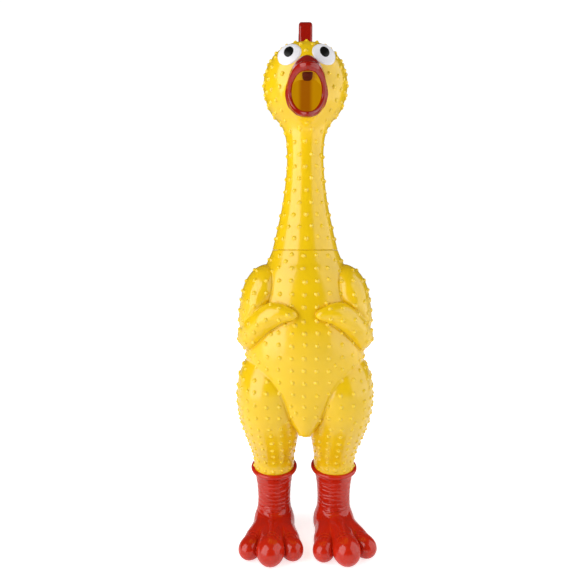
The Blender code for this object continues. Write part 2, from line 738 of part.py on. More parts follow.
COLOURS = {
    "torso_shell": ("yellow_vinyl_body", (0.83, 0.55, 0.02), 0.35),
    "head_neck_shell": ("yellow_vinyl_head", (0.83, 0.55, 0.02), 0.35),
    "comb": ("red_comb", (0.42, 0.01, 0.008), 0.22),
    "beak": ("red_beak", (0.42, 0.01, 0.008), 0.2),
    "eye_white_left": ("eye_white_left", (0.9, 0.9, 0.88), 0.3),
    "eye_white_right": ("eye_white_right", (0.9, 0.9, 0.88), 0.3),
    "pupil_left": ("pupil_left", (0.01, 0.01, 0.01), 0.2),
    "pupil_right": ("pupil_right", (0.01, 0.01, 0.01), 0.2),
    "boot_left": ("red_vinyl_boot_left", (0.55, 0.015, 0.008), 0.3),
    "boot_right": ("red_vinyl_boot_right", (0.55, 0.015, 0.008), 0.3),
    "squeaker_housing": ("squeaker_housing", (0.8, 0.8, 0.78), 0.4),
    "squeaker_cap": ("squeaker_cap", (0.75, 0.75, 0.73), 0.4),
    "reed_trough": ("reed_trough", (0.7, 0.7, 0.68), 0.4),
    "reed_tongue": ("reed_tongue", (0.85, 0.85, 0.8), 0.3),
    "reed_clamp": ("reed_clamp", (0.65, 0.65, 0.62), 0.45),
}
for node, (name, colour, roughness) in COLOURS.items():
    bpy.data.objects[node].data.materials.clear()
    bpy.data.objects[node].data.materials.append(material(name, colour, roughness))
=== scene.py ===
"""Rubber chicken: nubbed yellow skin, open red beak, comb, raised eyes and red boots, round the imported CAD.

Shapes are worked out in millimetres in the toy's own frame: x is its left, y its back, z up, and the neck's
centreline is x = y = 0. A skin is a signed-distance field, turned into a mesh and drawn back onto the field.
"""

import math

import bmesh
import bpy
import numpy as np
import openvdb
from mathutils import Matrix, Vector
from mathutils.kdtree import KDTree


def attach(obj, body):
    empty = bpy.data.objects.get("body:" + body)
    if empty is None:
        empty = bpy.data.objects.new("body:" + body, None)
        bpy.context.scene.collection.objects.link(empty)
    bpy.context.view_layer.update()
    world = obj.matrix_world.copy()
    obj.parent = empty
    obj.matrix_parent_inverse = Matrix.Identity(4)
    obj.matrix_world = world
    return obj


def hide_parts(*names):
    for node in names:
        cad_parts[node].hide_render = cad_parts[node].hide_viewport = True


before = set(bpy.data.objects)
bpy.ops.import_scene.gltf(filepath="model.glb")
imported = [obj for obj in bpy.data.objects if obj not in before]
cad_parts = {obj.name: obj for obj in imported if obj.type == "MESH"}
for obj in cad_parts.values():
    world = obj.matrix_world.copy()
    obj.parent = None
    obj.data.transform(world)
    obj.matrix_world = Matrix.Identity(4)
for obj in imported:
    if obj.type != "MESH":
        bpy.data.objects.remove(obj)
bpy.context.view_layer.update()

MM = 0.001
AXIS_SIDE, AXIS_BACK = -1.63, 13.4  # where the neck's centreline stands in the frame, mm
STEP_BODY = 1.45
STEP_HEAD = 1.2
STEP_BOOT = 1.1

# ---------------------------------------------------------------- sizes, mm

SEAM = 398.0
SEAM_GAP = 0.14
WALL = 2.4
TORSO_SECTIONS = (  # height, half width, front, back
    (440, 37, 37, 37),
    (406, 40.3, 40.3, 40.3),
    (398, 42.6, 42.6, 42.6),
    (384, 48.5, 48, 47.5),
    (370, 57, 55, 53),
    (352, 65, 61, 59),
    (328, 71, 66, 64),
    (300, 75.5, 69.5, 67),
    (270, 78, 70, 68),
    (252, 77.5, 69, 67.5),
    (240, 74, 68.5, 66.5),
    (226, 66, 67, 64),
    (208, 51, 63.5, 59),
    (192, 37, 59.5, 53),
    (178, 25, 54, 45),
    (168, 16.5, 49, 38),
    (158, 11, 44, 31),
    (140, 8, 36, 22),
)
LEG_SECTIONS = (  # height, side, front, half width, half depth
    (300, 40, 0, 10, 20),
    (276, 40, 0, 24, 36),
    (256, 40.5, 0, 37, 48),
    (236, 43.0, 1.5, 43.6, 56),
    (214, 45.5, 2.5, 44, 58.5),
    (192, 45.5, 1, 43.2, 56.5),
    (170, 45, -4, 40.5, 50.5),
    (150, 43.8, -10, 36.2, 43.5),
    (131, 42.8, -17, 32, 36.5),
    (115, 42.2, -23, 28.8, 30.5),
    (104, 42, -26, 28.3, 28.4),
    (96, 42, -26, 28.1, 28.1),
    (90, 42, -26, 27.6, 27.6),
    (70, 42, -26, 26.4, 26.4),
)
ANKLE_SIDE, ANKLE_FRONT, LEG_END = 42.0, -26.0, 89.0
ANKLE_PLUG_RADIUS, ANKLE_PLUG_MIDDLE, ANKLE_PLUG_HALF = 18.6, 82.0, 16.0
UPPER_WING = (  # side, front, height, half width, half depth, half height
    (47, 10, 361, 16, 29, 18),
    (51, 18, 349, 20.5, 34, 24),
    (57, 8, 346, 18, 34, 24),
    (59, 17, 330, 22.5, 38, 29),
    (66, 10, 304, 20, 37, 31),
)
FORE_WING = (
    (68, 13, 288, 20, 34, 20),
    (61, 31, 301, 19, 29, 19),
    (51, 44, 312.5, 17.5, 25, 17.5),
    (41, 54, 319.5, 14, 18.5, 15.5),
    (31, 61.5, 322, 11, 13, 11),
    (22.5, 66.5, 321.5, 8, 7.5, 6.5),
    (16, 69.3, 320.6, 4.6, 4.4, 3.3),
)
NECK_OUTLINE = (  # height, radius
    (380, 46.5),
    (398.35, 42.6),
    (424, 36.4),
    (462, 28.6),
    (500, 24.2),
    (527, 23.7),
    (546, 26.2),
    (559, 31.8),
    (569.5, 39.5),
    (577, 45.0),
    (590, 51.0),
)
HEAD_CENTRE, HEAD_RADIUS, HEAD_DEPTH = 606.0, 53.5, 1.07
CROWN = 654.2  # the skull is a little flat on top
PLUG_RADIUS, PLUG_BORE, PLUG_BOTTOM, PLUG_TOP = 35.0, 32.0, 372.0, 402.0
POCKET_ROOM, POCKET_DEEPER = 1.5, 3.0  # what the body's socket has more than the neck's plug
HOLLOW_BOTTOM, BORE_TOP = 408.0, 412.0
MOUTH_HEIGHT = 578.0
LIP_HALF = (  # side, front, height of the lip's middle, from the top round the left to the bottom
    (0, 92, 597.8),
    (8.6, 87, 598),
    (15.2, 73, 595.6),
    (19.2, 60, 590.3),
    (20.4, 51, 582),
    (18.2, 50, 572.3),
    (13.2, 56, 563),
    (7.2, 65, 556.4),
    (0, 69.5, 554),
)
LIP_RADIUS = 2.9
BEAK_EDGE = (  # side, height of the beak's outer edge, from the top round the left to the bottom
    (0, 624.8),
    (6.5, 621.2),
    (12.7, 614.6),
    (18.6, 605),
    (22.3, 594.8),
    (23.7, 584),
    (22.2, 573.5),
    (17.2, 563.2),
    (10.8, 556),
    (0, 552),
)
EYE_SIDE, EYE_HEIGHT, EYE_RADIUS = 20.5, 629.2, 14.9


def smooth_table(rows, samples=12, mirrored=False):
    """Catmull-Rom through the rows, read more finely; a mirrored half loop goes on level past its ends."""
    rows = np.array(rows, float)
    if mirrored:
        flip = np.array([-1] + [1] * (rows.shape[1] - 1))
        padded = np.vstack([rows[1] * flip, rows, rows[-2] * flip])
    else:
        padded = np.vstack([2 * rows[0] - rows[1], rows, 2 * rows[-1] - rows[-2]])
    out = []
    for a, b, c, d in zip(padded, padded[1:], padded[2:], padded[3:]):
        for t in np.arange(samples) / samples:
            bend, twist = 2 * a - 5 * b + 4 * c - d, 3 * b - a - 3 * c + d
            out.append(0.5 * (2 * b + (c - a) * t + bend * t * t + twist * t**3))
    out.append(rows[-1])
    return np.array(out)


def by_height(rows):
    table = smooth_table(rows)
    return table[np.argsort(table[:, 0])]


TORSO = by_height(TORSO_SECTIONS)
LEG = by_height(LEG_SECTIONS)
NECK = by_height(NECK_OUTLINE)


def smin(a, b, k):
    h = np.clip(0.5 + 0.5 * (b - a) / k, 0, 1)
    return b + (a - b) * h - k * h * (1 - h)


def smax(a, b, k):
    return -smin(-a, -b, k)


def creased(a, b, k, depth, width):
    """A smooth union with a narrow groove pressed in along the line where the two shapes meet."""
    return smin(a, b, k) + depth * np.exp(-(((a - b) / width) ** 2))


def ellipsoid(p, centre, radii):
    q = p - np.array(centre, np.float32)
    r = np.array(radii, np.float32)
    k0 = np.sqrt(((q / r) ** 2).sum(1))
    k1 = np.sqrt(((q / r**2) ** 2).sum(1))
    return k0 * (k0 - 1) / np.maximum(k1, 1e-6)


def ball(p, row, sign=1):
    side, front, height, w, d, h = row
    return ellipsoid(p, (sign * side, -front, height), (w, d, h))


def balls(p, rows, k, sign=1):
    total = ball(p, rows[0], sign)
    for row in rows[1:]:
        total = smin(total, ball(p, row, sign), k)
    return total


def section_distance(x, y, w, front, back, power=2.0):
    d = np.where(y < 0, front, back)
    q = (np.abs(x / w) ** power + np.abs(y / d) ** power) ** (1 / power)
    rho = np.sqrt(x * x + y * y)
    return np.where(q > 1e-4, rho - rho / np.maximum(q, 1e-4), -np.minimum(w, d))


def band(value, start, end):
    """0 before start, 1 after end, smooth between."""
    t = np.clip((value - start) / (end - start), 0, 1)
    return t * t * (3 - 2 * t)


# ---------------------------------------------------------------- skins


def leg_field(p, sign):
    z = p[:, 2]
    side, front, w, d = (np.interp(z, LEG[:, 0], LEG[:, i]) for i in (1, 2, 3, 4))
    radial = section_distance(p[:, 0] - sign * side, p[:, 1] + front, w, d, d, 2.15)
    radial = smax(radial, z - 296, 8)
    return smax(radial, LEG_END + 0.6 - z, 1.0)


def torso_field(p):
    p = p.astype(np.float32)
    x, y, z = p[:, 0], p[:, 1], p[:, 2]
    w, f, b = (np.interp(z, TORSO[:, 0], TORSO[:, i]) for i in (1, 2, 3))
    body = section_distance(x, y, w, f, b, 2.12)
    body = smax(body, 160 - z, 9)
    legs = np.minimum(leg_field(p, 1), leg_field(p, -1))
    body = creased(body, legs, 4.5, 1.5, 2.2)
    mirror = p.copy()
    mirror[:, 0] = np.abs(x)
    upper = balls(mirror, UPPER_WING, 14)
    fore = balls(mirror, FORE_WING, 9)
    body = creased(body, upper, 3.0, 0.9, 1.6)
    body = creased(body, fore, 2.2, 1.1, 1.5)
    body = smax(body, z - (SEAM - SEAM_GAP / 2), 0.9)
    rho = np.sqrt(x * x + y * y)
    pocket = np.maximum(rho - (PLUG_RADIUS + POCKET_ROOM), PLUG_BOTTOM - POCKET_DEEPER - z)
    body = np.maximum(body, -pocket)
    rx = np.abs(x) - ANKLE_SIDE
    ry = y + ANKLE_FRONT
    plug = np.sqrt(rx * rx + ry * ry) - ANKLE_PLUG_RADIUS
    plug = np.maximum(plug, np.abs(z - ANKLE_PLUG_MIDDLE) - ANKLE_PLUG_HALF)
    return np.minimum(body, plug)


def head_outer(p):
    x, y, z = p[:, 0], p[:, 1], p[:, 2]
    depth = 1 + (HEAD_DEPTH - 1) * band(z, 540, 585)
    rho = np.sqrt(x * x + (y / depth) ** 2)
    radius = np.interp(z, NECK[:, 0], NECK[:, 1])
    slope = np.interp(z, NECK[:, 0], np.gradient(NECK[:, 1], NECK[:, 0]))
    neck = (rho - radius) / np.sqrt(1 + slope * slope)
    neck = smax(neck, z - 582, 6)
    skull = ellipsoid(p, (0, 0, HEAD_CENTRE), (HEAD_RADIUS, HEAD_RADIUS * HEAD_DEPTH, HEAD_RADIUS))
    return smin(neck, smax(skull, z - CROWN, 8), 4)


def loop_table(half):
    """A half loop read finely, and the angle of each point round the mouth's middle, 0 at the top."""
    fine = smooth_table(half, 10, mirrored=True)
    side, height = fine[:, 0], fine[:, -1]
    angle = np.arctan2(side, height - MOUTH_HEIGHT)
    angle[-1] = math.pi
    return angle, fine


LIP_ANGLE, LIP_FINE = loop_table(LIP_HALF)
EDGE_ANGLE, EDGE_FINE = loop_table(BEAK_EDGE)


def round_mouth(x, z):
    """Distance from the mouth's middle in the front view, and the lip's and the beak edge's there."""
    rho = np.sqrt(x * x + (z - MOUTH_HEIGHT) ** 2)
    angle = np.arctan2(np.abs(x), z - MOUTH_HEIGHT)
    lip = np.interp(angle, LIP_ANGLE, np.hypot(LIP_FINE[:, 0], LIP_FINE[:, 2] - MOUTH_HEIGHT))
    edge = np.interp(angle, EDGE_ANGLE, np.hypot(EDGE_FINE[:, 0], EDGE_FINE[:, 1] - MOUTH_HEIGHT))
    front = np.interp(angle, LIP_ANGLE, LIP_FINE[:, 1])
    return rho, lip, edge, front


def head_skin(p):
    """The head's outside with the snout that carries the beak."""
    x, y, z = p[:, 0], p[:, 1], p[:, 2]
    outer = head_outer(p)
    rho, lip, _, front = round_mouth(x, z)
    snout = smax(rho - (lip + 1.2), -y - (front - 1.0), 2.0)
    snout = np.maximum(snout, y + 5)
    return smin(outer, snout, 9)


def head_field(p):
    p = p.astype(np.float32)
    x, y, z = p[:, 0], p[:, 1], p[:, 2]
    skin = head_skin(p)
    skin = smax(skin, SEAM + SEAM_GAP / 2 - z, 0.9)
    rho = np.sqrt(x * x + y * y)
    plug = np.maximum(rho - PLUG_RADIUS, np.maximum(PLUG_BOTTOM - z, z - PLUG_TOP))
    solid = np.minimum(skin, plug)
    hollow = head_outer(p) + WALL
    hollow = np.maximum(hollow, HOLLOW_BOTTOM - z)
    bore = np.maximum(rho - PLUG_BORE, np.maximum(z - BORE_TOP, PLUG_BOTTOM - 5 - z))
    hollow = smin(hollow, bore, 2)
    ring, lip, _, _ = round_mouth(x, z)
    channel = smax(ring - (lip - LIP_RADIUS + 0.4), y + 30, 3)
    hollow = smin(hollow, channel, 5)
    return smax(solid, -hollow, 0.8)


BOOT_OUTLINE = (  # height, radius
    (97, 29.6),
    (96.3, 31.0),
    (94.9, 32.0),
    (93.1, 32.2),
    (91.5, 31.5),
    (90.3, 30.0),
    (89.2, 28.5),
    (87.5, 27.3),
    (83, 26.2),
    (76, 25.0),
    (66, 23.7),
    (50, 22.9),
    (34, 23.6),
    (24, 25.2),
    (12, 26.5),
)
BOOT_PROFILE = by_height(BOOT_OUTLINE)
MID_TOE = (  # side, front, height, half width, half depth, half height, from the tip back
    (0, 78.5, 16, 17.2, 17.2, 17.4),
    (0, 60, 15.5, 17, 22, 17),
    (0, 38, 14, 18, 26, 19),
    (0, 14, 14, 22, 24, 19),
)
SIDE_TOE = (
    (28.5, 67, 12.3, 13.6, 13.5, 13.4),
    (22.5, 50, 12, 15, 20, 14.5),
    (15, 30, 12.5, 17, 24, 16.5),
)
HEEL = (0, -5, 16, 24.5, 26.5, 19)
CUFF_SLOPE = math.tan(math.radians(7))  # the cuff is lower in front
CUFF_TOP, SOLE_BLEND = 96.6, 12.0
WRINKLES, WRINKLE_TOP, WRINKLE_SPACING = 9, 79.0, 5.8
SEAT_RADIUS, BOOT_BORE, BORE_FLOOR = 27.6, 19.2, 60.0


def boot_field(p, seed):
    """A boot with its ankle on the axis and its toes to the front."""
    p = p.astype(np.float32)
    x, y, z = p[:, 0], p[:, 1], p[:, 2]
    tilt = CUFF_SLOPE * np.clip((z - 70) / 16, 0, 1)
    tilted = z - y * tilt
    rho = np.sqrt(x * x + y * y)
    shaft = rho - np.interp(tilted, BOOT_PROFILE[:, 0], BOOT_PROFILE[:, 1])
    shaft = smax(shaft, tilted - CUFF_TOP, 1.6)
    shaft = smax(shaft, SOLE_BLEND - z, 4)
    mid = balls(p, MID_TOE, 12)
    left, right = balls(p, SIDE_TOE, 10, 1), balls(p, SIDE_TOE, 10, -1)
    side = np.minimum(left, right)
    fade = band(-y, 36, 60)
    foot = smin(mid, side, 10 - 6.8 * fade) + 1.1 * fade * np.exp(-(((mid - side) / 1.5) ** 2))
    foot = smin(foot, ball(p, HEEL), 12)
    boot = smin(shaft, foot, 11)
    phase = np.random.default_rng(seed).uniform(0, 2 * math.pi, (WRINKLES, 3))
    turn = np.arctan2(x, -y)
    for i in range(WRINKLES):
        wave = 0.9 * np.sin(2 * turn + phase[i, 0]) + 0.5 * np.sin(5 * turn + phase[i, 1])
        level = WRINKLE_TOP - WRINKLE_SPACING * i + wave
        strength = band(np.cos(turn), -0.5, 0.5) * (0.65 + 0.35 * np.sin(3 * turn + phase[i, 2]))
        press = 0.75 * strength * band(rho, 15, 20) * (1 - band(rho, 27, 33))
        boot = boot + press * np.exp(-(((z - level) / 0.85) ** 2))
    # Two faint creases over each toe, behind its tip.
    for row, sign in ((MID_TOE[0], 1), (SIDE_TOE[0], 1), (SIDE_TOE[0], -1)):
        off = x - sign * row[0]
        for back, drop in ((8.5, 0.6), (15, 0.5)):
            along = -y - (row[1] - back) - 0.04 * off**2
            over = band(z, row[2] + 3, row[2] + 9)
            beside = 1 - band(np.abs(off), row[3] * 0.55, row[3] * 0.9)
            boot = boot + drop * over * beside * np.exp(-((along / 0.9) ** 2))
    boot = smax(boot, -z, 1.4)
    seat = np.maximum(rho - SEAT_RADIUS, LEG_END - 1.5 - z)
    bore = np.maximum(rho - BOOT_BORE, BORE_FLOOR - z)
    return smax(boot, -np.minimum(seat, bore), 0.8)


COMB_LOBES = ((-2.5, 11, 686), (-25, 13, 683.5), (-44, 9, 671))  # front, radius, top
COMB_FOOT, COMB_ROUNDING = 640.0, 3.2
TONGUE_MIDDLE = (0, 25, 645.5)  # the part that goes into the crown
TONGUE_HALF = (5.5, 21, 14.5)


def comb_field(p):
    p = p.astype(np.float32)
    x, y, z = p[:, 0], p[:, 1], p[:, 2]
    flat = None
    for front, radius, top in COMB_LOBES:
        a = np.array([-front, top - radius])
        b = np.array([-front * 0.55, COMB_FOOT])
        ab = b - a
        t = np.clip(((y - a[0]) * ab[0] + (z - a[1]) * ab[1]) / (ab @ ab), 0, 1)
        lobe = np.hypot(y - a[0] - ab[0] * t, z - a[1] - ab[1] * t) - radius * (1 - 0.12 * t)
        flat = lobe if flat is None else creased(flat, lobe, 2.5, 0.8, 1.5)
    half = 8.5 - 0.5 * band(z, 668, 650)
    over, beside = flat + COMB_ROUNDING, np.abs(x) - half + COMB_ROUNDING
    outside = np.hypot(np.maximum(over, 0), np.maximum(beside, 0)) - COMB_ROUNDING
    solid = outside + np.minimum(np.maximum(over, beside), 0)
    tongue = (np.abs(p - np.array(TONGUE_MIDDLE, np.float32)) - np.array(TONGUE_HALF, np.float32)).max(1)
    head = head_outer(p)
    crown = smax(solid, 0.1 - head, 0.6)
    return np.minimum(crown, np.maximum(tongue, head - 0.5))


# ---------------------------------------------------------------- meshes


def gradient(field, p, eps=0.06):
    g = np.empty_like(p)
    for axis in range(3):
        step = np.zeros(3)
        step[axis] = eps
        g[:, axis] = (field(p + step) - field(p - step)) / (2 * eps)
    return g


def settle(field, p, rounds=3):
    """Draws points onto the field's surface, and gives the surface's normals there."""
    for _ in range(rounds):
        value = field(p).astype(float)
        g = gradient(field, p)
        length = (g * g).sum(1)
        move = value[:, None] * g / np.maximum(length, 0.09)[:, None]
        size = np.sqrt((move * move).sum(1))
        move *= np.minimum(1, 1.0 / np.maximum(size, 1e-9))[:, None]
        p = p - move
    g = gradient(field, p)
    return p, g / np.maximum(np.sqrt((g * g).sum(1)), 1e-9)[:, None]


def polygonise(field, lo, hi, step):
    """(points, faces) of the field's surface, worked out only in the blocks that it passes through."""
    block = 6
    lo = np.array(lo, float)
    counts = np.ceil((np.array(hi, float) - lo) / (step * block)).astype(int)
    centres = [lo[i] + (np.arange(counts[i]) + 0.5 - 0.5 / block) * block * step for i in range(3)]
    grid = np.stack(np.meshgrid(*centres, indexing="ij"), -1).reshape(-1, 3)
    coarse = field(grid)
    near = np.flatnonzero(np.abs(coarse) < block * step * 1.5)
    values = np.where(coarse < 0, -3 * step, 3 * step).astype(np.float32)
    shape = (counts[0], block, counts[1], block, counts[2], block)
    fine = np.broadcast_to(values.reshape(*counts)[:, None, :, None, :, None], shape).copy()
    inside = np.stack(np.meshgrid(*[np.arange(block)] * 3, indexing="ij"), -1).reshape(-1, 3)
    at = np.stack(np.unravel_index(near, counts), -1)
    for start in range(0, len(at), 2000):
        part = at[start : start + 2000]
        points = lo + (part[:, None, :] * block + inside[None]) * step
        got = np.clip(field(points.reshape(-1, 3)), -3 * step, 3 * step)
        got = got.reshape(len(part), block, block, block)
        fine[part[:, 0], :, part[:, 1], :, part[:, 2], :] = got
    dense = fine.reshape(counts * block).astype(np.float32)
    vdb = openvdb.FloatGrid(3 * step)
    vdb.copyFromArray(dense)
    points, quads = vdb.convertToQuads(0.0)
    return points.astype(float) * step + lo, quads


def mesh_object(name, points, faces, body, material, normals=None):
    """Points in the toy's frame, mm, to an object in metres that rides on a body."""
    mesh = bpy.data.meshes.new(name)
    world = (points + np.array([AXIS_SIDE, AXIS_BACK, 0.0])) * MM
    mesh.from_pydata(world.tolist(), [], [list(map(int, f)) for f in faces])
    mesh.validate()
    mesh.shade_smooth()
    if normals is not None and len(mesh.vertices) == len(normals):
        mesh.normals_split_custom_set_from_vertices(normals.tolist())
    made = bpy.data.objects.new(name, mesh)
    bpy.context.scene.collection.objects.link(made)
    mesh.materials.append(material)
    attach(made, body)
    return made


def refine_near(points, faces, centres, reach):
    """Splits the faces near the nubs in four, so that each nub has enough of them."""
    tree = KDTree(len(centres))
    for i, c in enumerate(centres):
        tree.insert(c, i)
    tree.balance()
    bm = bmesh.new()
    verts = [bm.verts.new(q) for q in points]
    close = [tree.find(q)[2] < reach for q in points]
    bm.verts.index_update()
    for f in faces:
        bm.faces.new([verts[i] for i in f])
    edges = [e for e in bm.edges if close[e.verts[0].index] and close[e.verts[1].index]]
    bmesh.ops.subdivide_edges(bm, edges=edges, cuts=1, use_grid_fill=True)
    bm.verts.index_update()
    points = np.array([v.co for v in bm.verts])
    faces = [[v.index for v in f.verts] for f in bm.faces]
    bm.free()
    return points, faces


NUB_RADIUS, NUB_HEIGHT = 3.1, 2.0


def raise_nubs(points, normals, outside, centres):
    """Domes on the skin: points near a nub move out along their normals, which lean with the dome."""
    tree = KDTree(len(points))
    for i, q in enumerate(points):
        tree.insert(q, i)
    tree.balance()
    lift = np.zeros(len(points))
    lean = np.zeros_like(points)
    for c, radius, height in centres:
        ids = np.array([f[1] for f in tree.find_range(c, radius) if outside[f[1]]], int)
        d = points[ids] - np.array(c)
        n = normals[ids]
        d -= (d * n).sum(1)[:, None] * n
        r = np.sqrt((d * d).sum(1))
        t = np.clip(r / radius, 0, 1)
        rise = height * (1 - t * t) ** 2 * (1 + 0.9 * t * t)
        slope = height * (-4 * t * (1 - t * t) * (1 + 0.9 * t * t) + (1 - t * t) ** 2 * 1.8 * t) / radius
        lift[ids] = np.maximum(lift[ids], rise)
        lean[ids] -= slope[:, None] * d / np.maximum(r, 1e-6)[:, None]
    moved = points + normals * lift[:, None]
    tilted = normals + lean
    tilted /= np.sqrt((tilted * tilted).sum(1))[:, None]
    return moved, tilted, lift


FAR = 130.0  # rays start this far out, clear of the toy


def cast(field, origins, directions, reach):
    """The first surface point met along each ray from outside, or NaN."""
    t = np.zeros(len(origins))
    for _ in range(60):
        value = field(origins + directions * t[:, None])
        t += np.clip(value, -1.5, 6) * 0.8
        t = np.clip(t, 0, reach)
    hit = np.abs(field(origins + directions * t[:, None])) < 0.6
    out = origins + directions * t[:, None]
    out[~hit] = np.nan
    return out


def spaced(points, least):
    """Leaves out each point that is nearer than least to one already kept."""
    kept = []
    cells = {}
    for q in points:
        key = tuple(np.floor(q / least).astype(int))
        near = [
            k
            for dx in (-1, 0, 1)
            for dy in (-1, 0, 1)
            for dz in (-1, 0, 1)
            for k in cells.get((key[0] + dx, key[1] + dy, key[2] + dz), ())
        ]
        if all(((q - k) ** 2).sum() > least * least for k in near):
            cells.setdefault(key, []).append(q)
            kept.append(q)
    return np.array(kept)


def rows_of_rays(heights, centre, radius, spacing, stagger, jitter, rng):
    """Rays towards an upright axis, in rows; every other row is turned by the share stagger of a space."""
    origins, directions = [], []
    for i, z in enumerate(heights):
        around = radius(z)
        count = max(6, int(round(2 * math.pi * around / spacing)))
        for j in range(count):
            a = 2 * math.pi * (j + stagger * (i % 2)) / count + rng.normal(0, jitter / max(around, 1))
            d = np.array([math.sin(a), -math.cos(a), 0.0])
            start = np.array([centre[0], centre[1], z + rng.normal(0, jitter)]) + d * FAR
            origins.append(start)
            directions.append(-d)
    return np.array(origins), np.array(directions)


# ---------------------------------------------------------------- materials


def principled(name, colour, roughness, bump=0.0, bump_scale=300.0, tint=0.0, tint_scale=18.0, spec=0.5):
    """A moulded plastic: colour that drifts a little, uneven gloss and a fine orange-peel bump."""
    m = bpy.data.materials.new(name)
    m.use_nodes = True
    nodes, links = m.node_tree.nodes, m.node_tree.links
    shader = nodes["Principled BSDF"]
    shader.inputs["Roughness"].default_value = roughness
    shader.inputs["Specular IOR Level"].default_value = spec
    where = nodes.new("ShaderNodeTexCoord")
    noise = nodes.new("ShaderNodeTexNoise")
    noise.inputs["Scale"].default_value = tint_scale
    noise.inputs["Detail"].default_value = 3.0
    links.new(where.outputs["Object"], noise.inputs["Vector"])
    ramp = nodes.new("ShaderNodeValToRGB")
    ramp.color_ramp.elements[0].position = 0.35
    ramp.color_ramp.elements[1].position = 0.65
    ramp.color_ramp.elements[0].color = (*[c * (1 - tint) for c in colour], 1)
    ramp.color_ramp.elements[1].color = (*[min(1.0, c * (1 + tint * 0.6)) for c in colour], 1)
    links.new(noise.outputs["Fac"], ramp.inputs["Fac"])
    links.new(ramp.outputs["Color"], shader.inputs["Base Color"])
    gloss = nodes.new("ShaderNodeMapRange")
    gloss.inputs["From Min"].default_value = 0.3
    gloss.inputs["From Max"].default_value = 0.7
    gloss.inputs["To Min"].default_value = roughness * 0.85
    gloss.inputs["To Max"].default_value = roughness * 1.2
    links.new(noise.outputs["Fac"], gloss.inputs["Value"])
    links.new(gloss.outputs["Result"], shader.inputs["Roughness"])
    if bump:
        grain = nodes.new("ShaderNodeTexNoise")
        grain.inputs["Scale"].default_value = bump_scale
        grain.inputs["Detail"].default_value = 2.0
        links.new(where.outputs["Object"], grain.inputs["Vector"])
        lumps = nodes.new("ShaderNodeBump")
        lumps.inputs["Strength"].default_value = bump
        lumps.inputs["Distance"].default_value = 0.0004
        links.new(grain.outputs["Fac"], lumps.inputs["Height"])
        links.new(lumps.outputs["Normal"], shader.inputs["Normal"])
    return m


def paint_nub_highlights(m, highlight_colour):
    """Painted highlight: the nubs' tips are a little paler than the skin between them, standing in for the
    light they catch.
    """
    nodes, links = m.node_tree.nodes, m.node_tree.links
    shader = nodes["Principled BSDF"]
    skin = shader.inputs["Base Color"].links[0].from_socket
    height = nodes.new("ShaderNodeAttribute")
    height.attribute_name = "nub"
    share = nodes.new("ShaderNodeMapRange")
    share.inputs["From Min"].default_value = 0.25
    share.inputs["To Max"].default_value = 0.7
    mix = nodes.new("ShaderNodeMix")
    mix.data_type = "RGBA"
    mix.inputs[7].default_value = (*highlight_colour, 1)
    links.new(height.outputs["Fac"], share.inputs["Value"])
    links.new(share.outputs["Result"], mix.inputs[0])
    links.new(skin, mix.inputs[6])
    links.new(mix.outputs[2], shader.inputs["Base Color"])


YELLOW = (0.88, 0.565, 0.004)
yellow = principled(
    "yellow_vinyl", YELLOW, 0.19, bump=0.08, bump_scale=260, tint=0.05, tint_scale=22, spec=0.65
)
# painted highlight: paler yellow on the nubs' tips
paint_nub_highlights(yellow, (0.97, 0.72, 0.05))
# the head's inside: a darker copy of the yellow, painted shade, which also carries a painted glow
lining_shade_glow = principled("yellow_lining_painted_shade_and_glow", (0.26, 0.17, 0.004), 0.5, bump=0.15, bump_scale=200, tint=0.08, spec=0.2)


def paint_glow_and_shade_inside(m):
    """Painted glow: an emission stands in for light that comes through the thin skin into the head, with less
    of it in the middle, a painted shadow band.
    """
    nodes, links = m.node_tree.nodes, m.node_tree.links
    shader = nodes["Principled BSDF"]
    where = nodes.new("ShaderNodeTexCoord")
    parts = nodes.new("ShaderNodeSeparateXYZ")
    off = nodes.new("ShaderNodeMath")
    off.operation = "ABSOLUTE"
    share = nodes.new("ShaderNodeMapRange")
    share.interpolation_type = "SMOOTHSTEP"
    share.inputs["From Min"].default_value = 0.0045
    share.inputs["From Max"].default_value = 0.0115
    ramp = nodes.new("ShaderNodeValToRGB")
    ramp.color_ramp.elements[0].color = (0.24, 0.065, 0.0006, 1)
    ramp.color_ramp.elements[1].color = (0.42, 0.205, 0.0006, 1)
    links.new(where.outputs["Object"], parts.inputs["Vector"])
    links.new(parts.outputs["X"], off.inputs[0])
    links.new(off.outputs["Value"], share.inputs["Value"])
    links.new(share.outputs["Result"], ramp.inputs["Fac"])
    links.new(ramp.outputs["Color"], shader.inputs["Emission Color"])
    shader.inputs["Emission Strength"].default_value = 0.9


paint_glow_and_shade_inside(lining_shade_glow)
red_gloss = principled("red_gloss", (0.33, 0.007, 0.002), 0.15, bump=0.06, tint=0.07, tint_scale=30)
# a darker copy of the red, painted shade, for the block that hangs in shadow inside the mouth
red_painted_shade = principled("red_painted_shade", (0.085, 0.008, 0.001), 0.6, bump=0.1, tint=0.1, spec=0.1)
red_vinyl = principled(
    "red_vinyl", (0.56, 0.018, 0.004), 0.14, bump=0.12, bump_scale=280, tint=0.07, tint_scale=26
)
white = principled("eye_white", (0.84, 0.83, 0.86), 0.3, bump=0.05, tint=0.02)
black = principled("eye_black", (0.006, 0.006, 0.005), 0.25, bump=0.05, tint=0.3, spec=0.2)
plastic = principled("squeaker_plastic", (0.75, 0.75, 0.72), 0.45, bump=0.2, tint=0.04)
film = principled("reed_film", (0.8, 0.8, 0.76), 0.2, bump=0.02, tint=0.03)

# ---------------------------------------------------------------- torso

